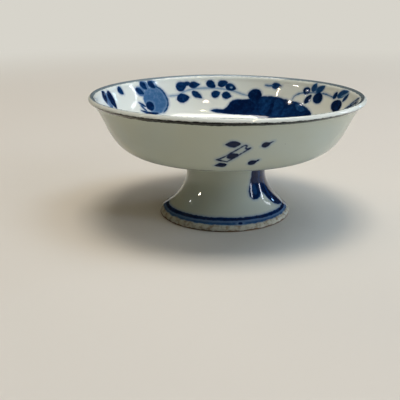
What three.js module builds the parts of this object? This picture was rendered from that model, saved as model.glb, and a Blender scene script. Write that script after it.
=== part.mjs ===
// Footed dish: a wide, shallow bowl with an everted lip, luted onto a hollow, flared foot.
// Millimetres, +Z up. The origin is on the axis, in the plane that the foot rests on.
import * as THREE from 'three';

// Overall sizes
const overallHeight = 51;
const rimCrestRadius = 55.2;
const footBaseRadius = 27.9;
const stemTopRadius = 16.9;

// Heights of the two faces that the luting slip joins
const footTop = 24.9;
const bowlSeat = 25.5;

// Bowl
const seatRadius = 19;
const floorHeight = 29.5;
const lipRadius = 0.95;
const lipStart = -35;
const lipEnd = 165;

// Foot
const footWall = 3.4;
const restingWidth = 2;
const baseEdgeRadius = 0.4;
const baseEdgeStart = -90;
const baseEdgeEnd = 45;

// Ring of clay paste that holds the foot to the bowl
const slipInset = 0.3;
const slipBulge = 0.8;

// Fineness of the turned surfaces
const bowlFacets = 72;
const footFacets = 60;
const wallSegments = 15;
const footSegments = 13;
const lipSegments = 6;
const baseEdgeSegments = 4;

// Outlines as [radius, height], each through the points that its curve needs.
// Under the bowl from the seat, round the turn and up the wall to the neck of the lip
const bowlOutside = [
  [seatRadius, bowlSeat],
  [24, 26],
  [30, 26.5],
  [36, 27.3],
  [41, 28.8],
  [45.2, 31.9],
  [48.2, 36.2],
  [50.6, 41.3],
  [52.6, 45.4],
  [54.3, 48.3],
];

// Down the inside of the wall and in over the floor
const bowlInside = [
  [53.4, 48.8],
  [51.9, 46.2],
  [49.4, 41],
  [46.6, 36.4],
  [43, 33],
  [37.5, 31.1],
  [28, 30.1],
  [14, floorHeight + 0.1],
];

// Up the outside of the foot, from its base edge to the top of the stem
const footOutside = [
  [27.7, 1.2],
  [26.8, 2],
  [25.1, 3.4],
  [22.8, 5.5],
  [20.6, 8],
  [18.7, 11],
  [17, 15],
  [16.6, 19],
  [stemTopRadius, footTop],
];

// Down the hollow of the foot to its resting ring
const footInside = [
  [stemTopRadius - footWall, footTop],
  [13.3, 19],
  [13.8, 15],
  [15.6, 11],
  [17.5, 8],
  [19.6, 5.3],
  [21.9, 3.2],
  [24, 1.3],
  [footBaseRadius - baseEdgeRadius - restingWidth, 0],
];

const bowlGlaze = { color: 0xc8d0c8, roughness: 0.18, metalness: 0 };
const footGlaze = { color: 0xb4bcb0, roughness: 0.2, metalness: 0 };
const slipGlaze = { color: 0xaab0a2, roughness: 0.3, metalness: 0 };

// Points of a smooth curve through an outline.
function curve(outline, segments) {
  const points = outline.map(([radius, height]) => new THREE.Vector2(radius, height));
  return new THREE.SplineCurve(points).getPoints(segments);
}

// Points of a circular arc about [radius, height], with its two angles in degrees.
function arc([radius, height], size, start, end, segments) {
  const points = [];
  for (let i = 0; i <= segments; i += 1) {
    const angle = THREE.MathUtils.degToRad(start + ((end - start) * i) / segments);
    const across = size * Math.cos(angle);
    const up = size * Math.sin(angle);
    points.push(new THREE.Vector2(radius + across, height + up));
  }
  return points;
}

// Turns an outline about +Z. A lathe turns about its own Y, so the result is stood up.
function thrown(name, outline, facets, finish) {
  const geometry = new THREE.LatheGeometry(outline, facets);
  geometry.rotateX(Math.PI / 2);
  const mesh = new THREE.Mesh(geometry, new THREE.MeshStandardMaterial(finish));
  mesh.name = name;
  return mesh;
}

// The bowl: a flat seat, a nearly flat underside, a wall that turns up sharply, a rounded lip.
function bowl() {
  const lipCentre = [rimCrestRadius, overallHeight - lipRadius];
  const outline = [
    new THREE.Vector2(0, bowlSeat),
    ...curve(bowlOutside, wallSegments),
    ...arc(lipCentre, lipRadius, lipStart, lipEnd, lipSegments),
    ...curve(bowlInside, wallSegments),
    new THREE.Vector2(0, floorHeight),
  ];
  return thrown('bowl', outline, bowlFacets, bowlGlaze);
}

// The foot: a hollow stem that flares to a wide base and stands on a narrow ring.
function foot() {
  const edgeCentre = [footBaseRadius - baseEdgeRadius, baseEdgeRadius];
  const inside = curve(footInside, footSegments);
  const outline = [
    inside[inside.length - 1],
    ...arc(edgeCentre, baseEdgeRadius, baseEdgeStart, baseEdgeEnd, baseEdgeSegments),
    ...curve(footOutside, footSegments),
    ...inside,
  ];
  return thrown('foot', outline, footFacets, footGlaze);
}

// The ring of slip between the top of the foot and the seat of the bowl, smoothed outwards.
function lutingSlip() {
  const inner = stemTopRadius - footWall + slipInset;
  const outer = stemTopRadius;
  const outline = [
    new THREE.Vector2(inner, footTop),
    new THREE.Vector2(outer, footTop),
    new THREE.Vector2(outer + slipBulge / 2, (footTop + bowlSeat) / 2),
    new THREE.Vector2(outer + slipBulge, bowlSeat),
    new THREE.Vector2(inner, bowlSeat),
    new THREE.Vector2(inner, footTop),
  ];
  return thrown('luting_slip', outline, footFacets, slipGlaze);
}

const dish = new THREE.Group();
dish.add(bowl(), foot(), lutingSlip());

export default dish;
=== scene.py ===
import math

import bpy
import numpy as np
from mathutils import Matrix, Vector


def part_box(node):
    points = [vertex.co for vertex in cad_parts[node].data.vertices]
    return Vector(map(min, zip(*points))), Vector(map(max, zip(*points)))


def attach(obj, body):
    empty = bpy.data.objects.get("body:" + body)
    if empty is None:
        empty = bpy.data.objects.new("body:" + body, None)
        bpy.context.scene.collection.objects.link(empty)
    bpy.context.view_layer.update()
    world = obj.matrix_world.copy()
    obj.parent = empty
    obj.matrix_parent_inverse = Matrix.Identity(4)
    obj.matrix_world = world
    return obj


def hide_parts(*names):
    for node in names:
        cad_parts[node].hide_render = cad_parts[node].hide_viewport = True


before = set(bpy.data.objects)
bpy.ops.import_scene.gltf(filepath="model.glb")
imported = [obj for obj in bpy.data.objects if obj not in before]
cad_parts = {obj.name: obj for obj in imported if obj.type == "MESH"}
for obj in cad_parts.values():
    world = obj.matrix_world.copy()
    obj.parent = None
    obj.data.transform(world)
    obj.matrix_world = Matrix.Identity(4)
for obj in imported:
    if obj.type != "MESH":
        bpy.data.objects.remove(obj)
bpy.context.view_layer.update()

mm = 0.001
fineSteps = 40              # of a smooth line, from one knot to the next
samePlace = 0.001           # mm between points of an outline that count as one
mergeWithin = 0.01          # mm between corners of a mesh that are merged


# Outlines of the thrown pieces, in millimetres. An outline is a line of (radius, height) points
# that is turned about the dish's axis.

# How far along a line each of its points lies
def lengths(line):
    return np.r_[0, np.cumsum(np.hypot(*np.diff(line, axis=0).T))]


# The same line with its points about one spacing apart
def evenly(line, spacing):
    line = np.array(line, float)
    s = lengths(line)
    at = np.linspace(0, s[-1], max(2, round(s[-1] / spacing) + 1))
    return np.c_[np.interp(at, s, line[:, 0]), np.interp(at, s, line[:, 1])]


# A smooth curve through the knots, and back to the first one if it is closed
def smoothLine(knots, spacing, closed=False):
    p = np.array(knots, float)
    if closed:
        q = np.vstack([p[-1:], p, p[:2]])
    else:
        q = np.vstack([2 * p[0] - p[1], p, 2 * p[-1] - p[-2]])
    t = np.linspace(0, 1, fineSteps, endpoint=False)[:, None]
    fine = []
    for a, b, c, d in zip(q, q[1:], q[2:], q[3:]):
        fine.append(b + 0.5 * t * (c - a + t * (2 * a - 5 * b + 4 * c - d + t * (3 * b - a - 3 * c + d))))
    return evenly(np.vstack([*fine, q[-2:-1]]), spacing)


def arcLine(centre, size, start, end, spacing):
    count = max(3, round(abs(math.radians(end - start)) * size / spacing))
    angle = np.radians(np.linspace(start, end, count + 1))
    return np.c_[centre[0] + size * np.cos(angle), centre[1] + size * np.sin(angle)]


# Lines end to end, without the points that would be doubled
def joined(*lines):
    line = np.vstack(lines)
    return line[np.r_[True, np.hypot(*np.diff(line, axis=0).T) > samePlace]]


# How far along an outline its point nearest to (radius, height) lies
def lengthTo(outline, point):
    return lengths(outline)[np.hypot(*(outline - point).T).argmin()]


def pointsOf(piece):
    co = np.zeros(len(piece.data.vertices) * 3)
    piece.data.vertices.foreach_get("co", co)
    return co.reshape(-1, 3) / mm


def readFloats(piece, name):
    values = np.zeros(len(piece.data.vertices))
    piece.data.attributes[name].data.foreach_get("value", values)
    return values


def writeFloats(piece, name, values):
    layer = piece.data.attributes.get(name) or piece.data.attributes.new(name, "FLOAT", "POINT")
    layer.data.foreach_set("value", values)


# How far values are on their way from start to end, from 0 to 1, with a soft start and end
def eased(values, start, end):
    t = np.clip((values - start) / (end - start), 0, 1)
    return t ** 2 * (3 - 2 * t)


# Moves the points of a piece by millimetres, along x, y or z
def shiftPoints(piece, axis, amounts):
    points = pointsOf(piece)
    points[:, "xyz".index(axis)] += amounts
    piece.data.vertices.foreach_set("co", (points * mm).ravel())
    piece.data.update()


# One vertex is extruded along the outline, and that line is spun about the axis. Every point
# then keeps how far along the outline it lies.
def throwPiece(name, outline, turns):
    bpy.ops.object.select_all(action="DESELECT")
    bpy.ops.mesh.primitive_plane_add(size=mm)
    piece = bpy.context.object
    piece.name = name
    piece.data.name = name
    bpy.ops.object.mode_set(mode="EDIT")
    bpy.ops.mesh.select_mode(type="VERT")
    bpy.ops.mesh.merge(type="CENTER")
    line = np.c_[outline[:, 0], np.zeros(len(outline)), outline[:, 1]] * mm
    bpy.ops.transform.translate(value=line[0])
    for step in np.diff(line, axis=0):
        bpy.ops.mesh.extrude_region_move(TRANSFORM_OT_translate={"value": step})
    bpy.ops.mesh.select_all(action="SELECT")
    bpy.ops.mesh.spin(steps=turns, angle=2 * math.pi, center=(0, 0, 0), axis=(0, 0, 1))
    bpy.ops.mesh.select_all(action="SELECT")
    bpy.ops.mesh.remove_doubles(threshold=mergeWithin * mm)
    bpy.ops.mesh.normals_make_consistent(inside=False)
    bpy.ops.object.mode_set(mode="OBJECT")
    points = pointsOf(piece)
    s = lengths(outline)
    flat = np.c_[np.hypot(points[:, 0], points[:, 1]), points[:, 2]]
    writeFloats(piece, "along", [s[np.hypot(*(outline - place).T).argmin()] for place in flat])
    return piece


# Cuts the faces that lie near the edge of a stroke, and puts the new points on the true surface
def cutFiner(piece, outline, edgeGap, reach):
    mesh = piece.data
    corners = np.zeros(len(mesh.loops), int)
    mesh.loops.foreach_get("vertex_index", corners)
    starts = np.zeros(len(mesh.polygons), int)
    mesh.polygons.foreach_get("loop_start", starts)
    bpy.ops.object.mode_set(mode="EDIT")
    bpy.ops.mesh.select_mode(type="FACE")
    bpy.ops.mesh.select_all(action="DESELECT")
    bpy.ops.object.mode_set(mode="OBJECT")
    mesh.polygons.foreach_set("select", np.logical_or.reduceat((edgeGap < reach)[corners], starts))
    bpy.ops.object.mode_set(mode="EDIT")
    bpy.ops.mesh.subdivide(number_cuts=1, smoothness=0)
    bpy.ops.object.mode_set(mode="OBJECT")
    points = pointsOf(piece)
    angle = np.arctan2(points[:, 1], points[:, 0])
    s = lengths(outline)
    along = readFloats(piece, "along")
    radius = np.interp(along, s, outline[:, 0])
    height = np.interp(along, s, outline[:, 1])
    placed = np.c_[radius * np.cos(angle), radius * np.sin(angle), height] * mm
    mesh.vertices.foreach_set("co", placed.ravel())
    mesh.update()


# Painting is laid out in mm on the unrolled wall. A sheet holds, for every point of a piece, where
# it is and how deep it lies inside a stroke (below zero outside), and how dark that stroke is.
# Thin cobalt is the "wash" layer, the loaded brush paints the "stroke" layer over it, and the third
# layer holds the iron lines of the lip and a thin line of painted shade where the wall turns up.

farOff = -3.0               # depth in mm of a point that is outside every stroke
brush = {
    "blend": 0.3,           # mm over which a new tone turns into the one under it
    "lineStep": 0.6,        # mm between the points of a line
    "reach": 4,             # mm from a line within which its distance is measured
    "fullness": 0.7,        # of a dab, less is blunter
    "untrue": 0.035,        # how far a round spot is from a true circle
    "margin": 1,            # mm that a figure may run past the ends of its wall
    "cutReach": (1.0, 0.32),  # mm from an edge within which the mesh is cut, at each of two cuts
}


def sheetFor(piece):
    points = pointsOf(piece)
    sheet = {"x": points[:, 0], "y": points[:, 1], "along": readFloats(piece, "along")}
    sheet["angle"] = np.degrees(np.arctan2(points[:, 1], points[:, 0]))
    sheet["edgeGap"] = np.full(len(points), -farOff)
    for layer in ("wash", "stroke", "ironAndShade"):
        sheet[layer] = np.full(len(points), farOff)
        sheet[layer + "Tone"] = np.full(len(points), 0.5)
    return sheet


# The part of a sheet between two places along the outline. Its places are (angle, height), and
# across is the radius that turns degrees into millimetres.
def wallBand(sheet, outline, start, end, across, inside):
    s = lengths(outline)
    along, margin = sheet["along"], brush["margin"]
    chosen = (s >= start - samePlace) & (s <= end + samePlace)
    order = np.argsort(outline[chosen, 1])
    return {
        "sheet": sheet, "across": across, "inside": inside, "shift": 0,
        "on": np.flatnonzero((along > start - margin) & (along < end + margin)),
        "heights": outline[chosen, 1][order], "alongs": s[chosen][order],
    }


# The flat part of a sheet past a place along the outline. Its places are (x, y) in millimetres.
def floorBand(sheet, start):
    return {"sheet": sheet, "on": np.flatnonzero(sheet["along"] > start), "heights": None, "shift": 0}


# A band for one repeat of a figure, which is turned about the dish by some degrees
def repeatOf(band, shift):
    return {**band, "shift": shift}


def shifted(band, place):
    return (place[0] + band["shift"], place[1])


# Millimetres to the right and up, as the painter sees the band, counted from an angle
def spread(band, angle, along, home):
    if band["heights"] is None:
        return angle, along
    right = np.radians((angle - home + 180) % 360 - 180) * band["across"]
    return (-right, -along) if band["inside"] else (right, along)


def spotOn(band, place, home):
    if band["heights"] is None:
        return place
    return spread(band, place[0], np.interp(place[1], band["heights"], band["alongs"]), home)


# All points of the band
def fieldOf(band, home):
    sheet, on = band["sheet"], band["on"]
    if band["heights"] is None:
        return sheet["x"][on], sheet["y"][on]
    return spread(band, sheet["angle"][on], sheet["along"][on], home)


# All points of the band, seen from a place and turned by some degrees
def around(band, place, turn=0.0):
    place = shifted(band, place)
    right, up = fieldOf(band, place[0])
    spot = spotOn(band, place, place[0])
    c, s = math.cos(math.radians(turn)), math.sin(math.radians(turn))
    u, v = right - spot[0], up - spot[1]
    return u * c + v * s, v * c - u * s


# Adds a stroke to a layer: the shapes join, and the new tone covers the old one
def lay(band, layer, depth, tone):
    sheet, on = band["sheet"], band["on"]
    share = np.clip(0.5 + depth / brush["blend"], 0, 1)
    share[depth > sheet[layer][on]] = 1
    sheet[layer + "Tone"][on] += share * (tone - sheet[layer + "Tone"][on])
    sheet[layer][on] = np.maximum(sheet[layer][on], depth)
    sheet["edgeGap"][on] = np.minimum(sheet["edgeGap"][on], abs(depth))


# A dab of the brush, blunt where it was set down and pointed where it was lifted
def leaf(band, place, size, turn, tone, layer="stroke", heel=0.8):
    u, v = around(band, place, turn)
    length, width = size
    t = np.clip(u / length + 0.5, 0, 1)
    half = 0.5 * width * np.sin(math.pi * t ** heel) ** brush["fullness"]
    lay(band, layer, np.minimum(half - abs(v), 0.5 * length - abs(u)), tone)


# A round spot, or with a width a ring, not quite a true circle
def disc(band, place, size, tone, layer="stroke", width=None):
    u, v = around(band, place)
    v = v * size[0] / size[1]
    lobes = np.sin(3 * np.arctan2(v, u) + shifted(band, place)[0])
    depth = 0.5 * size[0] * (1 + brush["untrue"] * lobes) - np.hypot(u, v)
    lay(band, layer, depth if width is None else 0.5 * width - abs(depth), tone)


# Distance of the band's points to a line, and how far along it the nearest place is, from 0 to 1
def gapTo(line, u, v):
    gap = np.full(len(u), -farOff)
    way = np.zeros(len(u))
    for i, (a, b) in enumerate(zip(line, line[1:])):
        near = np.flatnonzero((abs(u - a[0]) < brush["reach"]) & (abs(v - a[1]) < brush["reach"]))
        step = b - a
        t = np.clip(((u[near] - a[0]) * step[0] + (v[near] - a[1]) * step[1]) / (step @ step), 0, 1)
        here = np.hypot(u[near] - a[0] - t * step[0], v[near] - a[1] - t * step[1])
        closer = here < gap[near]
        gap[near[closer]] = here[closer]
        way[near[closer]] = (i + t[closer]) / (len(line) - 1)
    return gap, way


# A smooth line through places, and all points of the band, both counted from the first place
def lineAndField(band, places, closed=False):
    places = [shifted(band, place) for place in places]
    home = places[0][0]
    flat = [spotOn(band, place, home) for place in places]
    return smoothLine(flat, brush["lineStep"], closed), fieldOf(band, home)


# A brush line through its places, thinner towards its ends
def brushLine(band, places, width, tone, layer="stroke", taper=0.5):
    line, field = lineAndField(band, places)
    gap, way = gapTo(line, *field)
    lay(band, layer, 0.5 * width * (1 - taper * abs(2 * way - 1) ** 3) - gap, tone)


# A filled shape inside a smooth closed outline
def patch(band, places, tone, layer="stroke"):
    line, (u, v) = lineAndField(band, places, closed=True)
    inside = np.zeros(len(u), bool)
    for a, b in zip(line, line[1:]):
        if a[1] != b[1]:
            inside ^= ((a[1] > v) != (b[1] > v)) & (u < a[0] + (v - a[1]) * (b[0] - a[0]) / (b[1] - a[1]))
    gap = gapTo(line, u, v)[0]
    lay(band, layer, np.where(inside, gap, -gap), tone)


# A slow, uneven wander round the piece, about 0 and mostly within 1
def wander(angle, start):
    turn = np.radians(angle)
    waves = np.sin(3 * turn + start) + 0.6 * np.sin(7 * turn) + 0.5 * np.sin(13 * turn + 2 * start)
    return 0.6 * waves + 0.3 * np.sin(41 * turn)


# A line right round the piece, between two places along the outline
def roundLine(sheet, start, end, tone, layer="stroke"):
    band = {"sheet": sheet, "on": np.arange(len(sheet["angle"]))}
    middle = 0.5 * (start + end)
    lay(band, layer, 0.5 * (end - start) - abs(sheet["along"] - middle), tone)


# Paints a piece: its mesh is cut finer where the figures have edges, and then takes their sheet
def paintPiece(piece, outline, figures, lines):
    for reach in brush["cutReach"]:
        sheet = sheetFor(piece)
        figures(sheet)
        cutFiner(piece, outline, sheet["edgeGap"], reach)
    sheet = sheetFor(piece)
    figures(sheet)
    lines(sheet)
    for name in ("wash", "washTone", "stroke", "strokeTone", "ironAndShade", "ironAndShadeTone"):
        writeFloats(piece, name, sheet[name])


print("tools ready")


# Bowl

bowlLow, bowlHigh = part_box("bowl")
bowl = {
    "seatHeight": bowlLow.z / mm,  # heights, radii and outlines in mm
    "rimHeight": bowlHigh.z / mm,
    "rimRadius": bowlHigh.x / mm,
    "seatRadius": 19,
    "floorHeight": 29.5,
    "turns": 220,
    "outside": [(24, 26), (30, 26.5), (36, 27.3), (41, 28.8), (45.2, 31.9), (48.2, 36.2), (50.6, 41.3),
                (52.6, 45.4), (54.3, 48.3)],
    # from the rim's radius and height: neck, outer side, crest and inner side of the lip
    "lip": [(-0.27, -1.75), (0, -1.2), (-0.2, -0.7), (-0.55, -0.3), (-1.1, 0), (-1.8, -0.2),
            (-2.6, -0.55), (-3.15, -1.05), (-3.45, -1.75)],
    "inside": [(52.45, 48.2), (51.6, 46), (49.4, 41), (46.6, 36.4), (43, 33), (37.5, 31.1), (28, 30.1)],
    "floorRise": (14, 0.1),  # radius where the floor stands that much above its middle
    "wallSpacing": 1.2,     # mm between the points of its outline
    "insideSpacing": 1.1,
    "lipSpacing": 0.25,
    "neckSpacing": 0.3,
    "lipToInside": 0.4,
    "seatSpacing": 3,
    "belly": (41, 28.8),    # place on the outside where the wall turns up; a thin line of painted shade lies there
    "turnIn": (37.5, 31.1),  # place inside where the wall becomes the floor
    "insideAcross": 50,     # radius in mm that turns degrees into millimetres, inside
    "outsideAcross": 49,
    "floorFrom": 14,        # mm past the turn where the painting of the floor may start
    "vines": (0, 180),      # degrees of each repeat
    "charms": (0, 120, 240),
    "droop": 0.6,           # mm that the right side of the rim hangs low
    "droopAcross": (-17, 34),  # it starts and is full at these places from left to right
    "droopFrom": 30,        # height where it starts
}

seat = (bowl["seatRadius"], bowl["seatHeight"])
lipKnots = [(bowl["rimRadius"] + out, bowl["rimHeight"] + up) for out, up in bowl["lip"]]
bowlOutside = smoothLine([seat, *bowl["outside"]], bowl["wallSpacing"])
bowlLip = smoothLine(lipKnots, bowl["lipSpacing"])
floorEdge = (bowl["floorRise"][0], bowl["floorHeight"] + bowl["floorRise"][1])
bowlInside = smoothLine([*bowl["inside"], floorEdge], bowl["insideSpacing"])
bowlOutline = joined(
    evenly([(0, bowl["seatHeight"]), seat], bowl["seatSpacing"]),
    bowlOutside,
    evenly([bowlOutside[-1], bowlLip[0]], bowl["neckSpacing"]),
    bowlLip,
    evenly([bowlLip[-1], bowlInside[0]], bowl["lipToInside"]),
    bowlInside,
    evenly([bowlInside[-1], (0, bowl["floorHeight"])], bowl["wallSpacing"]),
)
dishBowl = throwPiece("dishBowl", bowlOutline, bowl["turns"])
print("bowl thrown:", len(dishBowl.data.polygons), "faces")

crestAt = lengthTo(bowlOutline, bowlLip[bowlLip[:, 1].argmax()])
neckAt = lengthTo(bowlOutline, bowlLip[0])
turnInAt = lengthTo(bowlOutline, bowl["turnIn"])
bellyAt = lengthTo(bowlOutline, bowl["belly"])


# One half of the vine round the inside. Angles run from the right hand over the far side.
def paintVine(band):
    # two long dabs with thin blue between them, and a short one, before the fruit
    leaf(band, (169.3, 45.4), (7.6, 6.0), -80, 0.6, "wash")
    leaf(band, (172.4, 47.5), (6.2, 4.4), -87, 0.92)
    leaf(band, (165.7, 45.4), (9.0, 4.8), -75, 0.96)
    leaf(band, (155.0, 47.8), (4.9, 3.4), -46, 0.86)
    # the round fruit: thin blue with a darker outline, an eye, petals above and blades below
    disc(band, (132.6, 41.1), (13.6, 13.2), 0.5, "wash")
    fruitSide = [(130.5, 47.4), (127.3, 45.6), (125.2, 42.6), (124.9, 39.4), (127.2, 36.9), (130.2, 35.6)]
    brushLine(band, fruitSide, 1.0, 0.8)
    disc(band, (137.2, 39.1), (5.0, 4.8), 0.93)
    petals = [(141.0, 46.0, 5.6, -36), (137.6, 48.2, 5.2, -50), (132.3, 48.2, 5.4, -48)]
    for angle, height, length, turn in petals:
        leaf(band, (angle - 0.6, height - 0.3), (length + 1.0, 4.2), turn, 0.56, "wash")
        leaf(band, (angle, height), (length, 3.0), turn, 0.87)
    brushLine(band, [(144.2, 41.4), (142.3, 40.3), (140.4, 39.2)], 1.3, 0.88)
    brushLine(band, [(143.6, 40.0), (142.0, 38.4), (141.0, 37.4)], 1.1, 0.82)
    brushLine(band, [(144.8, 38.0), (141.5, 36.8), (137.5, 36.0), (133.2, 35.6)], 1.6, 0.93, taper=0.7)
    # the vine and its leaves
    brushLine(band, [
        (124.5, 42.3), (117.3, 42.5), (113.5, 43.9), (107, 44.8), (99, 44.9), (92, 44.5), (86.2, 43.6),
        (80.2, 42.1), (76, 41.6),
    ], 0.8, 0.3)
    for angle, height, length, width, turn in (
        (114.9, 46.3, 6.0, 4.8, 24), (111.6, 47.3, 3.6, 2.4, 10), (107.6, 46.6, 5.4, 3.4, 4),
        (115.0, 40.9, 6.9, 4.8, 4), (106.6, 42.0, 6.2, 3.1, -36), (98.3, 46.6, 5.2, 3.8, -36),
        (91.9, 47.0, 5.2, 3.5, 16), (87.6, 45.3, 5.6, 3.9, -18), (95.9, 42.1, 4.8, 3.8, 20),
        (89.8, 41.5, 4.9, 3.9, -12),
    ):
        leaf(band, (angle, height), (length, width), turn, 0.89)
    disc(band, (87.3, 45.2), (1.4, 1.0), 0.3)
    # the great dark leaf
    patch(band, [
        (99.8, 35.0), (96, 35.6), (92, 35.4), (89.8, 36.4), (87.4, 38.8), (84.3, 39.8), (79.5, 40.0),
        (74, 40.6), (68.5, 41.9), (61.3, 42.1), (55.8, 41.3), (47.8, 40.8), (41.8, 39.5), (36.8, 38.0),
        (34.2, 36.2), (37, 33.5), (47, 31.9), (58, 31.5), (66, 31.7), (71, 32.9), (80, 33.1), (89, 33.4),
        (96.5, 34.0),
    ], 0.91)
    # its tones: a full brush at the left, thinner between the veins
    patch(band, [
        (97.5, 34.8), (91, 35.1), (87.4, 38.2), (84, 39.3), (77, 39.6), (73, 37.6), (75, 34.2), (86, 33.2),
    ], 0.99)
    patch(band, [(70, 40.8), (64.4, 40.8), (64.2, 37), (65.6, 33.6), (70, 35.2)], 0.87)
    patch(band, [(61, 40.8), (56.2, 39.9), (55.4, 36.8), (57.2, 33.8), (61.4, 34.6)], 0.85)
    patch(band, [(53.6, 39), (49.2, 38.6), (50, 35.6), (54.6, 34)], 0.87)
    patch(band, [(48.6, 39.9), (44.2, 39.4), (41, 38.1), (42.8, 36.9), (46.5, 37.7)], 0.76)
    brushLine(band, [(62.3, 39.6), (62.7, 36.4), (63.3, 32.6)], 1.8, 0.98)
    brushLine(band, [(54.6, 41.0), (54.2, 38.4), (56.2, 35.4), (58.4, 33.0)], 1.0, 0.93)
    brushLine(band, [(47.4, 38.4), (50.4, 36.2), (54.4, 33.2)], 0.9, 0.9)
    brushLine(band, [(58.4, 41.2), (55.0, 40.9), (50.6, 40.5)], 1.0, 0.96)
    leaf(band, (37.4, 36.8), (4.2, 2.6), -62, 0.95)
    # the round bud that stands on it, and a small bud with its stalk
    disc(band, (73.8, 42.1), (6.9, 6.3), 0.95)
    leaf(band, (62.4, 47.0), (5.0, 3.3), 4, 0.82)
    brushLine(band, [(68.6, 46.9), (66.8, 46.8), (64.6, 47.0)], 1.1, 0.56)
    # the vine climbs out of the leaf to two clusters
    brushLine(band, [
        (51.4, 41.5), (50.6, 43.2), (48.2, 44.5), (45, 45.3), (38, 46.0), (31.5, 46.3), (26, 45.9),
        (21.5, 45.6),
    ], 0.7, 0.55)
    disc(band, (43.9, 46.3), (2.4, 2.3), 0.94, width=1.5)
    leaf(band, (39.4, 48.3), (4.8, 3.2), 75, 0.74)
    leaf(band, (35.1, 48.0), (5.8, 3.4), 38, 0.78)
    leaf(band, (37.4, 47.6), (3.0, 2.0), 60, 0.5, "wash")
    disc(band, (34.9, 43.9), (6.1, 5.4), 0.96)
    leaf(band, (41.4, 42.8), (5.4, 3.2), 60, 0.97)
    leaf(band, (22.6, 46.7), (3.7, 2.9), 66, 0.9)
    leaf(band, (16.4, 48.3), (9.0, 3.6), 24, 0.76)
    leaf(band, (12.4, 47.2), (5.4, 2.4), 50, 0.87)
    brushLine(band, [(17.2, 47.0), (13.8, 48.2), (11.2, 49.4)], 1.0, 0.36)
    disc(band, (17.8, 42.8), (8.6, 5.8), 0.96)


# The long leaf at the right hand, in outline
def paintLongLeaf(band):
    brushLine(band, [(8.6, 42.3), (7.0, 43.4), (1.0, 45.7), (-4.5, 47.9), (-9.5, 49.8)], 1.4, 0.88)
    brushLine(band, [(4.6, 45.1), (1.8, 46.6), (-2.2, 48.3), (-7.5, 50.2)], 0.9, 0.84)


# A charm tied with a ribbon, among four leaves
def paintCharm(band):
    longSide = [(-94.0, 34.7), (-92, 35.4), (-89, 36.9), (-85.5, 39.0), (-82.5, 40.7)]
    brushLine(band, longSide, 0.6, 1.12, taper=0.1)
    brushLine(band, [(-89.5, 33.9), (-86.2, 35.8), (-83, 37.8), (-80.5, 39.3)], 0.6, 1.12, taper=0.1)
    brushLine(band, [(-94.0, 34.7), (-91.8, 34.3), (-89.5, 33.9)], 0.7, 1.12, taper=0.1)
    notchedEnd = [(-82.9, 40.6), (-81.8, 40.6), (-82.1, 39.6), (-81.6, 39.2), (-80.3, 39.5)]
    brushLine(band, notchedEnd, 0.75, 1.1, taper=0.2)
    leaf(band, (-87.2, 36.4), (4.5, 2.5), 24, 1.1)
    leaf(band, (-87.3, 41.1), (5.3, 2.9), 4, 1.08, heel=1.1)
    leaf(band, (-92.4, 32.3), (5.0, 2.8), 12, 1.1, heel=1.3)
    for angle, height, length, width in ((-74.0, 40.7, 3.7, 2.4), (-78.3, 33.4, 3.9, 2.7)):
        leaf(band, (angle, height), (length, width), 24, 1.12, heel=0.7)
        tail = [(angle + 0.8, height + 0.3), (angle + 2.0, height + 0.8), (angle + 2.9, height + 1.1)]
        brushLine(band, tail, 0.8, 1.08, taper=0.7)


# A sprig on the floor, inside a double ring
def paintSprig(band):
    for radius, width in ((20.0, 0.8), (18.4, 0.5)):
        disc(band, (0, 0), (2 * radius, 2 * radius), 0.72, width=width)
    disc(band, (2.6, 1.6), (8.6, 8.2), 0.5, "wash")
    disc(band, (2.6, 1.6), (8.3, 7.9), 0.7, width=0.8)
    disc(band, (0.6, 0.2), (2.8, 2.6), 0.92)
    brushLine(band, [(-1.4, 0.2), (-5.2, -1.6), (-8.8, -6.4), (-9.8, -9.4)], 0.8, 0.6)
    for x, y, length, width, turn in (
        (-6.4, 2.4, 7.2, 3.6, 128), (-10.4, -2.2, 6.4, 3.2, 160), (-4.6, -6.6, 6.6, 3.4, -48),
        (8.4, 7.0, 5.6, 2.8, 50), (4.4, 8.8, 5.2, 2.6, 82), (9.8, 1.6, 4.8, 2.4, 8),
    ):
        leaf(band, (x, y), (length, width), turn, 0.86)


def bowlFigures(sheet):
    insideWall = wallBand(sheet, bowlOutline, crestAt, turnInAt, bowl["insideAcross"], True)
    for shift in bowl["vines"]:
        paintVine(repeatOf(insideWall, shift))
    paintLongLeaf(insideWall)
    outsideWall = wallBand(sheet, bowlOutline, bellyAt, neckAt, bowl["outsideAcross"], False)
    for shift in bowl["charms"]:
        paintCharm(repeatOf(outsideWall, shift))
    paintSprig(floorBand(sheet, turnInAt + bowl["floorFrom"]))


# Slate on the crest of the lip and a little way in, widest at the far side and darkest at the two
# ends. Iron black ran into the neck under it, thickest and darkest in front. A thin dark line where
# the wall turns up is painted shade along the bowl's lower contour.
def bowlLines(sheet):
    angle = sheet["angle"]
    far = np.sin(np.radians(angle))
    right = np.cos(np.radians(angle))
    front = np.maximum(np.cos(np.radians(angle + 105)), 0.25)
    slateEnd = crestAt + 1.3 + 0.5 * far + 0.1 * wander(angle, 1)
    slateTone = 0.34 + (0.26 + 0.04 * right) * abs(right) ** 1.2
    roundLine(sheet, crestAt - 0.3, slateEnd, slateTone, "ironAndShade")
    blackStart = neckAt - 1.45 - 0.45 * front - 0.2 * wander(angle, 2)
    blackEnd = neckAt + 0.25 + 0.3 * front
    roundLine(sheet, blackStart, blackEnd, 0.8 + 0.2 * front, "ironAndShade")
    # painted shade: a thin dark ring along the lower contour of the bowl
    roundLine(sheet, bellyAt - 0.25, bellyAt + 0.25, 0.8, "ironAndShade")


paintPiece(dishBowl, bowlOutline, bowlFigures, bowlLines)

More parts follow.
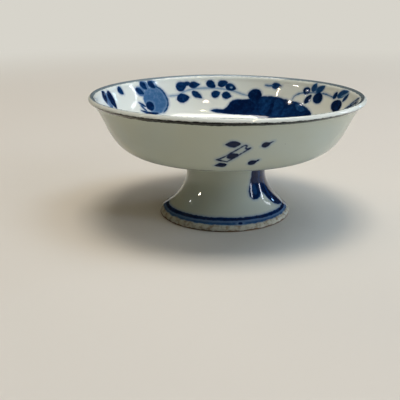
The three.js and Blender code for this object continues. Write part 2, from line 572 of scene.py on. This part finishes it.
# The right side of the rim sank a little in the kiln
points = pointsOf(dishBowl)
raised = np.clip((points[:, 2] - bowl["droopFrom"]) / (bowl["rimHeight"] - bowl["droopFrom"]), 0, 1)
shiftPoints(dishBowl, "z", -bowl["droop"] * raised * eased(points[:, 0], *bowl["droopAcross"]))
print("bowl painted:", len(dishBowl.data.polygons), "faces")


# Foot

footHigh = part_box("foot")[1]
foot = {
    "baseRadius": footHigh.x / mm,
    "topHeight": footHigh.z / mm,
    "stemTop": 16.9,
    "wall": 3.4,
    "ringWidth": 2,
    "edge": 0.4,
    "turns": 240,
    "outside": [(27.7, 1.2), (26.8, 2), (25.1, 3.4), (22.8, 5.5), (20.6, 8), (18.7, 11), (17, 15),
                (16.6, 19)],
    "inside": [(13.3, 19), (13.8, 15), (15.6, 11), (17.5, 8), (19.6, 5.3), (21.9, 3.2), (24, 1.3)],
    "outsideSpacing": 0.6,  # mm between the points of its outline
    "insideSpacing": 1.2,
    "edgeSpacing": 0.12,
    "ringSpacing": 0.5,
    "shoulderSpacing": 0.3,
    "topSpacing": 1.1,
    "across": 18,           # radius in mm that turns degrees into millimetres
    "lappets": (0, 180),    # degrees of each repeat
    "blueBand": (2.3, 4.3),  # heights of its two edges
    "darkLine": (3.6, 4.65),
    "bandDip": 0.9,         # mm that both run lower at the two sides
    "lean": 0.5,            # mm that the base stands to the left of the axis
    "leanBelow": 6,         # height where that starts
}

ringInner = foot["baseRadius"] - foot["edge"] - foot["ringWidth"]
footTopOuter = (foot["stemTop"], foot["topHeight"])
footTopInner = (foot["stemTop"] - foot["wall"], foot["topHeight"])
footOutside = smoothLine([*foot["outside"], footTopOuter], foot["outsideSpacing"])
footInside = smoothLine([footTopInner, *foot["inside"], (ringInner, 0)], foot["insideSpacing"])
edgeCentre = (foot["baseRadius"] - foot["edge"], foot["edge"])
footEdge = arcLine(edgeCentre, foot["edge"], -90, 45, foot["edgeSpacing"])
footOutline = joined(
    evenly([(ringInner, 0), footEdge[0]], foot["ringSpacing"]),
    footEdge,
    evenly([footEdge[-1], footOutside[0]], foot["shoulderSpacing"]),
    footOutside,
    evenly([footTopOuter, footTopInner], foot["topSpacing"]),
    footInside,
)
dishFoot = throwPiece("dishFoot", footOutline, foot["turns"])
footWallAt = lengthTo(footOutline, footOutside[0])
footTopAt = lengthTo(footOutline, footTopOuter)


# A lappet of two lobes that hangs down the stem from under the bowl
def paintLappet(band):
    patch(band, [
        (-50, 24.9), (-51, 20.5), (-53, 17.4), (-55.2, 15.2), (-58, 13.4), (-58.5, 11.7), (-56.5, 10.3),
        (-52.8, 9.6), (-47.2, 9.6), (-42.2, 10.2), (-38, 11.2), (-34.5, 11.2), (-31.8, 9.6), (-29.5, 8.3),
        (-26.5, 6.7), (-21.5, 5.4), (-14.5, 4.5), (-9, 4.2), (-2, 4.8), (0, 8), (-2, 12), (-4, 16), (-6, 20),
        (-8, 24.9), (-28, 25.2),
    ], 0.96)
    # a thinner pool low in the left lobe
    patch(band, [(-49.2, 15.2), (-52.2, 12.8), (-49.2, 11.3), (-45, 11.6), (-45, 14.6)], 0.8)
    # the tracks of the brush down the right lobe
    brushLine(band, [(-34, 22), (-35.2, 16.2), (-34, 12.7)], 1.3, 0.87)
    brushLine(band, [(-20.8, 22), (-22.8, 15.3), (-22.8, 10), (-17, 6.5)], 1.6, 0.86)


def footFigures(sheet):
    stem = wallBand(sheet, footOutline, footWallAt, footTopAt, foot["across"], False)
    for shift in foot["lappets"]:
        paintLappet(repeatOf(stem, shift))
    # two drops of cobalt on the band
    disc(stem, (-75.8, 2.8), (1.4, 1.2), 0.96)
    disc(stem, (124, 3.2), (1.0, 0.9), 0.96)


# How far along the foot's outline a height of its outside lies
def heightAt(height):
    stem = footOutline[(lengths(footOutline) >= footWallAt) & (lengths(footOutline) <= footTopAt)]
    return footWallAt + np.interp(height, stem[:, 1], lengths(stem))


# A dark line round the base, and a band of thin blue under it. Both run lower at the two sides.
def footLines(sheet):
    angle = sheet["angle"]
    low = foot["bandDip"] * np.cos(np.radians(angle)) ** 2
    bandStart, bandEnd = [heightAt(height) for height in foot["blueBand"]]
    lineStart, lineEnd = [heightAt(height) for height in foot["darkLine"]]
    roundLine(sheet, bandStart - 0.3 * low + 0.15 * wander(angle, 1), bandEnd - low, 0.7, "wash")
    roundLine(sheet, lineStart - low, lineEnd - low + 0.12 * wander(angle, 2), 1.0)


paintPiece(dishFoot, footOutline, footFigures, footLines)

# Its base was pressed a little to the left when it was set down wet
heights = pointsOf(dishFoot)[:, 2]
shiftPoints(dishFoot, "x", -foot["lean"] * eased(heights, foot["leanBelow"], 0))
print("foot thrown and painted:", len(dishFoot.data.polygons), "faces")


# Slip between foot and bowl

slipLow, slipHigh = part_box("luting_slip")
slip = {
    "inner": 13.8,          # radii in mm
    "stem": foot["stemTop"],
    "swell": 0.12,          # mm that its face stands out
    "turns": 240,
    "spacing": 1.0,         # mm between the points of its outline
    "faceSpacing": 0.1,
    "boreSpacing": 0.3,
}

slipFace = np.array([(slip["stem"], slipLow.z / mm), (slipHigh.x / mm, slipHigh.z / mm)])
slipMiddle = slipFace.mean(0) + (-slip["swell"], slip["swell"])
slipOutline = joined(
    evenly([(slip["inner"], slipFace[0, 1]), slipFace[0]], slip["spacing"]),
    smoothLine([slipFace[0], slipMiddle, slipFace[1]], slip["faceSpacing"]),
    evenly([slipFace[1], (slip["inner"], slipFace[1, 1])], slip["spacing"]),
    evenly([(slip["inner"], slipFace[1, 1]), (slip["inner"], slipFace[0, 1])], slip["boreSpacing"]),
)
slipRing = throwPiece("slipRing", slipOutline, slip["turns"])
print("slip ring thrown")


# Materials

# sRGB hex to the linear colour that Blender's sockets take
def colour(hexValue):
    parts = [int(hexValue[i:i + 2], 16) / 255 for i in (1, 3, 5)]
    return (*[c / 12.92 if c <= 0.04045 else ((c + 0.055) / 1.055) ** 2.4 for c in parts], 1.0)


# Adds a node with its settings and links, and gives the output that is wanted
def addNode(tree, kind, inputs, output=0, **settings):
    made = tree.nodes.new("ShaderNode" + kind)
    for name, value in settings.items():
        setattr(made, name, value)
    for name, value in inputs.items():
        if isinstance(value, bpy.types.NodeSocket):
            tree.links.new(value, made.inputs[name])
        else:
            made.inputs[name].default_value = value
    return made.outputs[output] if made.outputs else made


def newMaterial(name):
    material = bpy.data.materials.new(name)
    material.use_nodes = True
    material.node_tree.nodes.clear()
    return material


# Clear feldspar glaze, dipped, over cobalt that was brushed on the raw clay. The eye sees glass with
# a slow ripple over it. The cobalt is darkest where the brush was full, thins towards the edge of a
# stroke, lies in heaps, and bleeds a little into the glaze.
glaze = {
    # the inside is painted lighter than the outside: lit and shaded copies of one glaze
    "inner": "#e6e9df",
    # the lip is painted as light as the inside: a painted highlight on its outer face
    "lip": "#e4e8de",
    "outer": "#bfc4b3",
    "cloud": "#b9c4bd",
    "cloudShare": 0.5,
    "cloudSize": 20,        # mm between the clouds in the glaze
    "lipReach": 3.3,        # mm each way from the crest
    "lipFade": 0.5,
    "innerFade": 1.0,       # mm past the crest where the inner glaze is full
    "speck": "#4a4334",
    "speckShare": 0.6,
    "speckSpacing": 9,      # mm between iron specks
    "speckSize": 0.2,       # mm from a speck's middle to its edge
    "cobalt": [(0.0, "#a9b8bd"), (0.24, "#86a0b8"), (0.4, "#406892"), (0.52, "#2f567f"),
               (0.64, "#123a69"), (0.72, "#08264f"), (0.8, "#04183c"), (1.0, "#02122c")],
    "toneReach": 0.8,       # place on the cobalt ramp of tone 1
    "edgeWander": 0.45,     # mm that the edge of a stroke wanders
    "wanderSize": 1.5,      # mm between its turns
    "edgeSoft": 0.22,       # mm over which it fades
    "thinEdge": 0.7,        # mm of thinner cobalt inside the edge
    "thinShare": 0.8,       # of the full tone that is left at the very edge
    "bleed": "#7c97b4",
    "bleedShare": 0.5,
    "bleedReach": 1.3,      # mm that thin blue runs out of a stroke
    "heapSize": 2.2,        # mm between the heaps of cobalt
    "heaping": (("wash", 0.14), ("stroke", 0.2)),  # how far the tone of each layer varies
    "slate": "#a9bdc4",
    # black of the iron on the lip, also the colour of the painted shade line at the belly
    "ironAndShade": "#060505",
    "ironAndShadeSoft": 0.1,        # mm over which the edge of the iron fades
    "rippleSize": 10,       # mm between the ripples
    "rippleHeight": 0.03,   # mm
    "polish": (0.04, 0.09),  # roughness where it is glossiest and dullest
    "polishSize": 6,        # mm between such places
    "ior": 1.5,
    "specular": 0.22,       # fainter reflections than the usual 0.5 gives
}


def makeGlaze(name, crest=None, bareEdge=False):
    material = newMaterial(name)
    tree = material.node_tree
    place = addNode(tree, "TexCoord", {}, "Object")
    inMm = addNode(tree, "VectorMath", {0: place, "Scale": 1 / mm}, operation="SCALE")

    # the ground with slow clouds. On the bowl painted light makes the inside and the lip lighter than the
    # outside.
    clouds = addNode(tree, "TexNoise", {"Vector": inMm, "Scale": 1 / glaze["cloudSize"]})
    clouds = {"Value": clouds, "From Min": 0.35, "From Max": 0.7, "To Max": glaze["cloudShare"]}
    clouds = addNode(tree, "MapRange", clouds)
    base = {0: clouds, 6: colour(glaze["outer"]), 7: colour(glaze["cloud"])}
    base = addNode(tree, "Mix", base, 2, data_type="RGBA")
    # painted light: past the crest the ground turns to the lighter inside copy of the glaze
    if crest:
        along = addNode(tree, "Attribute", {}, "Fac", attribute_name="along")
        past = addNode(tree, "Math", {0: along, 1: crest}, operation="SUBTRACT")
        within = addNode(tree, "MapRange", {"Value": past, "From Min": 0.0, "From Max": glaze["innerFade"]})
        base = addNode(tree, "Mix", {0: within, 6: base, 7: colour(glaze["inner"])}, 2, data_type="RGBA")
        # painted highlight: near the crest the lip takes the light lip colour
        away = addNode(tree, "Math", {0: past}, operation="ABSOLUTE")
        lipHighlightShare = {"Value": away, "From Min": glaze["lipReach"],
                  "From Max": glaze["lipReach"] - glaze["lipFade"]}
        lipHighlightShare = addNode(tree, "MapRange", lipHighlightShare)
        base = addNode(tree, "Mix", {0: lipHighlightShare, 6: base, 7: colour(glaze["lip"])}, 2, data_type="RGBA")

    # a few iron specks
    cells = addNode(tree, "TexVoronoi", {"Vector": inMm, "Scale": 1 / glaze["speckSpacing"]}, "Distance")
    size = glaze["speckSize"] / glaze["speckSpacing"]
    speck = {"Value": cells, "From Min": size, "From Max": size / 2, "To Max": glaze["speckShare"]}
    speck = addNode(tree, "MapRange", speck)
    base = addNode(tree, "Mix", {0: speck, 6: base, 7: colour(glaze["speck"])}, 2, data_type="RGBA")

    # cobalt, first the thin washes and then the strokes: a faint bleed round each, and on it the
    # paint, by its tone and its heaps, thinner at the edge
    fine = addNode(tree, "TexNoise", {"Vector": inMm, "Scale": 1 / glaze["wanderSize"], "Detail": 3.0})
    half = 0.5 * glaze["edgeWander"]
    uneven = {"Value": fine, "From Min": 0.2, "From Max": 0.8, "To Min": -half, "To Max": half}
    uneven = addNode(tree, "MapRange", uneven)
    heaps = {"Vector": inMm, "Scale": 1 / glaze["heapSize"], "Detail": 5.0, "Roughness": 0.65}
    heaps = addNode(tree, "TexNoise", heaps)
    for layer, heaping in glaze["heaping"]:
        depth = addNode(tree, "Attribute", {}, "Fac", attribute_name=layer)
        depth = addNode(tree, "Math", {0: depth, 1: uneven}, operation="ADD")
        halo = {"Value": depth, "From Min": -glaze["bleedReach"], "From Max": 0.1,
                "To Max": glaze["bleedShare"]}
        halo = addNode(tree, "MapRange", halo, interpolation_type="SMOOTHSTEP")
        base = addNode(tree, "Mix", {0: halo, 6: base, 7: colour(glaze["bleed"])}, 2, data_type="RGBA")
        heap = {"Value": heaps, "From Min": 0.3, "From Max": 0.7,
                "To Min": -heaping / 2, "To Max": heaping / 2}
        heap = addNode(tree, "MapRange", heap, clamp=False)
        tone = addNode(tree, "Attribute", {}, "Fac", attribute_name=layer + "Tone")
        tone = addNode(tree, "Math", {0: tone, 1: heap}, operation="ADD")
        full = glaze["toneReach"]
        thin = {"Value": depth, "From Min": 0.0, "From Max": glaze["thinEdge"],
                "To Min": glaze["thinShare"] * full, "To Max": full}
        thin = addNode(tree, "MapRange", thin, interpolation_type="SMOOTHSTEP")
        tone = addNode(tree, "Math", {0: tone, 1: thin}, operation="MULTIPLY")
        painted = addNode(tree, "ValToRGB", {"Fac": tone}, "Color")
        stops = painted.node.color_ramp.elements
        while len(stops) < len(glaze["cobalt"]):
            stops.new(0.5)
        for stop, (position, hexValue) in zip(stops, glaze["cobalt"]):
            stop.position = position
            stop.color = colour(hexValue)
        cover = {"Value": depth, "From Min": -glaze["edgeSoft"], "From Max": glaze["edgeSoft"]}
        cover = addNode(tree, "MapRange", cover, interpolation_type="SMOOTHSTEP")
        base = addNode(tree, "Mix", {0: cover, 6: base, 7: painted}, 2, data_type="RGBA")

    # the iron of the lip, from slate where it is thin to black, and the line of painted shade at the belly
    depth = addNode(tree, "Attribute", {}, "Fac", attribute_name="ironAndShade")
    depth = addNode(tree, "Math", {0: depth, 1: uneven}, operation="ADD")
    dark = addNode(tree, "Attribute", {}, "Fac", attribute_name="ironAndShadeTone")
    dark = {0: dark, 6: colour(glaze["slate"]), 7: colour(glaze["ironAndShade"])}
    dark = addNode(tree, "Mix", dark, 2, data_type="RGBA")
    cover = {"Value": depth, "From Min": -glaze["ironAndShadeSoft"], "From Max": glaze["ironAndShadeSoft"]}
    cover = addNode(tree, "MapRange", cover, interpolation_type="SMOOTHSTEP")
    base = addNode(tree, "Mix", {0: cover, 6: base, 7: dark}, 2, data_type="RGBA")

    # the ripple and the polish of the glass over it
    rippled = addNode(tree, "TexNoise", {"Vector": inMm, "Scale": 1 / glaze["rippleSize"], "Detail": 1.0})
    height = addNode(tree, "Math", {0: rippled, 1: glaze["rippleHeight"] * mm}, operation="MULTIPLY")
    worn = addNode(tree, "TexNoise", {"Vector": inMm, "Scale": 1 / glaze["polishSize"], "Detail": 3.0})
    rough = {"Value": worn, "To Min": glaze["polish"][0], "To Max": glaze["polish"][1]}
    rough = addNode(tree, "MapRange", rough)
    if bareEdge:
        base, rough, height = bareFoot(tree, inMm, base, rough, height)
    bump = addNode(tree, "Bump", {"Height": height, "Distance": 1.0, "Strength": 1.0})
    shader = addNode(tree, "BsdfPrincipled", {
        "Base Color": base, "Roughness": rough, "Normal": bump,
        "IOR": glaze["ior"], "Specular IOR Level": glaze["specular"],
    })
    addNode(tree, "OutputMaterial", {"Surface": shader})
    return material


# The resting edge. The glaze thins there to a pitted buff with brown specks, and stops in a dark
# line over the dry clay that the dish stands on, partly a burnt line and partly painted contact shade.
edge = {
    "buff": "#c4c2ae",
    "brown": "#84694a",
    "brownShare": 0.7,
    "brownSize": 1.7,       # mm between the brown specks
    "thinBelow": 2.5,       # mm above the table
    "thinFade": 0.5,        # mm over which it sets in
    # dark brown of the burnt line, partly painted contact shade
    "burnt": "#4a2f16",
    "clay": "#9a7d58",
    "dryBelow": 0.7,        # mm above the table; below it the burnt line with painted contact shade
    "dryFade": 0.25,
    "clayBelow": (0.1, 0.45),  # mm, all clay and all burnt
    "dryRoughness": 0.85,
    "wander": 0.5,          # mm that both lines wander
    "wanderSize": 2.6,      # mm between their turns
    "pitSize": 0.8,         # mm between the pits
    "pitDepth": 0.08,       # mm
    "pitsFull": 1.8,        # mm above the table where the pits are full deep
}


def bareFoot(tree, inMm, base, rough, height):
    up = addNode(tree, "SeparateXYZ", {0: inMm}, "Z")
    slow = addNode(tree, "TexNoise", {"Vector": inMm, "Scale": 1 / edge["wanderSize"], "Detail": 3.0})
    half = 0.5 * edge["wander"]
    slow = {"Value": slow, "From Min": 0.25, "From Max": 0.75, "To Min": -half, "To Max": half}
    slow = addNode(tree, "MapRange", slow)
    level = addNode(tree, "Math", {0: up, 1: slow}, operation="ADD")

    # thin glaze, buff with brown specks
    flecks = addNode(tree, "TexNoise", {"Vector": inMm, "Scale": 1 / edge["brownSize"], "Detail": 4.0})
    flecks = {"Value": flecks, "From Min": 0.44, "From Max": 0.66, "To Max": edge["brownShare"]}
    flecks = addNode(tree, "MapRange", flecks)
    thin = {0: flecks, 6: colour(edge["buff"]), 7: colour(edge["brown"])}
    thin = addNode(tree, "Mix", thin, 2, data_type="RGBA")
    low = {"Value": level, "From Min": edge["thinBelow"], "From Max": edge["thinBelow"] - edge["thinFade"]}
    low = addNode(tree, "MapRange", low)
    base = addNode(tree, "Mix", {0: low, 6: base, 7: thin}, 2, data_type="RGBA")

    # the dark line, burnt and partly painted contact shade, and dry clay under it
    dry = {"Value": level, "From Min": edge["dryBelow"], "From Max": edge["dryBelow"] - edge["dryFade"]}
    dry = addNode(tree, "MapRange", dry)
    fired = {"Value": level, "From Min": edge["clayBelow"][0], "From Max": edge["clayBelow"][1]}
    fired = addNode(tree, "MapRange", fired)
    body = {0: fired, 6: colour(edge["clay"]), 7: colour(edge["burnt"])}
    body = addNode(tree, "Mix", body, 2, data_type="RGBA")
    base = addNode(tree, "Mix", {0: dry, 6: base, 7: body}, 2, data_type="RGBA")
    rough = addNode(tree, "Mix", {0: dry, 2: rough, 3: edge["dryRoughness"]})

    pits = addNode(tree, "TexNoise", {"Vector": inMm, "Scale": 1 / edge["pitSize"], "Detail": 3.0})
    depth = {"Value": level, "From Min": edge["thinBelow"], "From Max": edge["pitsFull"],
             "To Max": edge["pitDepth"] * mm}
    depth = addNode(tree, "MapRange", depth)
    pits = addNode(tree, "Math", {0: pits, 1: depth}, operation="MULTIPLY")
    return base, rough, addNode(tree, "Math", {0: height, 1: pits}, operation="ADD")


for piece, node, slotName, material in (
    (dishBowl, "bowl", "glaze", makeGlaze("dipped clear glaze over cobalt", crest=crestAt)),
    (dishFoot, "foot", "foot_glaze", makeGlaze("clear glaze on the foot", bareEdge=True)),
    (slipRing, "luting_slip", "slip", makeGlaze("glazed slip")),
):
    piece.data.materials.append(material)
    bpy.ops.object.select_all(action="DESELECT")
    piece.select_set(True)
    bpy.context.view_layer.objects.active = piece
    bpy.ops.object.shade_smooth()
    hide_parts(node)
    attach(piece, "root")
print("materials made")


# Floor, light and camera

studio = {
    "floorSize": 16,        # m
    "floorDrop": 0.01,      # mm that it lies under the dish
    "floor": "#dad6cc",
    "floorRoughness": 0.95,
    "farFloor": "#d7d4cb",
    "farFrom": 0.25,        # m from the dish where the floor starts to turn into one even tone
    "farTo": 0.8,
    "world": "#e8ecf0",
    "worldStrength": 0.03,
    # name, direction and height in degrees, distance, width and height in m, watts, colour, and
    # whether it lights the dish or shows in the glaze
    "lamps": [
        ("overhead softbox", 0, 90, 1.6, 0.6, 0.6, 13.6, "#fff4e6", "light"),
        ("right softbox", 0, 65, 1.6, 0.6, 0.6, 6.6, "#d8eaff", "light"),
        ("left softbox", 180, 65, 1.6, 0.6, 0.6, 1.3, "#ffeed6", "light"),
        ("low left softbox", 135, 30, 1.5, 0.6, 0.6, 2.0, "#ffe2bc", "light"),
        ("front softbox", -45, 35, 1.5, 0.5, 0.5, 2.4, "#eaf1ff", "light"),
        ("strip A", -15, 14, 1.4, 0.14, 0.5, 4.8, "#dce9ff", "light"),
        ("strip B", 20, 16, 1.4, 0.14, 0.5, 3.8, "#d8e8ff", "light"),
        ("panel behind", 68, 68, 1.4, 1.05, 0.5, 26.0, "#fffaf2", "glaze"),
        ("glint A", -15, 12, 1.4, 0.09, 0.8, 5.0, "#e8f0ff", "glaze"),
        ("glint B", 16.5, 13, 1.4, 0.08, 0.56, 3.4, "#e8f0ff", "glaze"),
        ("glint C", 45, 13.5, 1.4, 0.07, 0.06, 0.3, "#9ccfff", "glaze"),
        ("glint D", 49.5, 20.5, 1.4, 0.04, 0.03, 0.1, "#7cbcff", "glaze"),
        ("glint E", 25, 26, 1.4, 0.3, 0.06, 0.9, "#f0f4ff", "glaze"),
        ("spot A", -61, 53, 1.0, 0.06, 0.05, 1.4, "#ffdcc4", "glaze"),
        ("spot B", -28, 73.5, 1.0, 0.06, 0.05, 1.4, "#fff4c0", "glaze"),
        ("spot C", -150, 37.8, 1.0, 0.035, 0.05, 0.6, "#ffe0b4", "glaze"),
        ("spot D", -171, 41, 1.0, 0.035, 0.03, 0.6, "#fff0d8", "glaze"),
        ("spot E", 174, 37, 1.0, 0.02, 0.02, 0.16, "#fff8f0", "glaze"),
        ("spot F", 177, 29, 1.0, 0.012, 0.012, 0.04, "#f4f0ff", "glaze"),
        ("spot G", 169.5, 30, 1.0, 0.012, 0.03, 0.05, "#f4f0ff", "glaze"),
        ("spot H", -164, 25, 1.0, 0.1, 0.03, 1.6, "#fff2da", "glaze"),
    ],
}

bpy.ops.object.select_all(action="DESELECT")
bpy.ops.mesh.primitive_plane_add(size=studio["floorSize"], location=(0, 0, -studio["floorDrop"] * mm))
floor = bpy.context.object
floor.name = "floor"


# A matt pale floor that takes the shadow near the dish, and one even tone far off
def makeFloor():
    material = newMaterial("matt pale floor")
    tree = material.node_tree
    place = addNode(tree, "TexCoord", {}, "Object")
    near = {"Base Color": colour(studio["floor"]), "Roughness": studio["floorRoughness"]}
    near = addNode(tree, "BsdfPrincipled", near)
    far = addNode(tree, "Emission", {"Color": colour(studio["farFloor"]), "Strength": 1.0})
    away = addNode(tree, "VectorMath", {0: place}, "Value", operation="LENGTH")
    away = {"Value": away, "From Min": studio["farFrom"], "From Max": studio["farTo"]}
    away = addNode(tree, "MapRange", away, interpolation_type="SMOOTHSTEP")
    ray = addNode(tree, "LightPath", {}).node.outputs
    seen = addNode(tree, "Math", {0: ray["Is Camera Ray"], 1: ray["Is Glossy Ray"]}, operation="MAXIMUM")
    share = addNode(tree, "Math", {0: away, 1: seen}, operation="MULTIPLY")
    shader = addNode(tree, "MixShader", {0: share, 1: near, 2: far})
    addNode(tree, "OutputMaterial", {"Surface": shader})
    return material


floor.data.materials.append(makeFloor())

world = bpy.data.worlds.new("studio")
world.use_nodes = True
background = world.node_tree.nodes["Background"]
background.inputs["Color"].default_value = colour(studio["world"])
background.inputs["Strength"].default_value = studio["worldStrength"]
bpy.context.scene.world = world

for name, direction, rise, distance, width, height, watts, tint, use in studio["lamps"]:
    turn, tilt = math.radians(direction), math.radians(rise)
    out = math.cos(tilt)
    place = Vector((math.cos(turn) * out, math.sin(turn) * out, math.sin(tilt))) * distance
    bpy.ops.object.light_add(type="AREA", location=place)
    lamp = bpy.context.object
    lamp.name = name
    lamp.data.shape = "RECTANGLE"
    lamp.data.size = width
    lamp.data.size_y = height
    lamp.data.energy = watts
    lamp.data.color = colour(tint)[:3]
    lamp.rotation_euler = (-place).to_track_quat("-Z", "Y").to_euler()
    lamp.visible_glossy = use == "glaze"
    lamp.visible_diffuse = use == "light"

# The camera, with its place, lens, sensor and nearest distance in mm and its turns in degrees
shot = {
    "place": (0, -261.2, 91.76),
    "down": 18.553,
    "left": 2.429,
    "roll": -0.335,
    "lens": 57.1,
    "sensor": 36,
    "nearest": 10,
}

bpy.ops.object.camera_add()
camera = bpy.context.object
camera.data.lens = shot["lens"]
camera.data.sensor_width = shot["sensor"]
camera.data.clip_start = shot["nearest"] * mm
camera.matrix_world = (
    Matrix.Translation([c * mm for c in shot["place"]])
    @ Matrix.Rotation(math.radians(shot["left"]), 4, "Z")
    @ Matrix.Rotation(math.radians(90 - shot["down"]), 4, "X")
    @ Matrix.Rotation(math.radians(shot["roll"]), 4, "Z")
)
bpy.context.scene.camera = camera
bpy.context.scene.view_settings.view_transform = "Standard"
print("studio set")
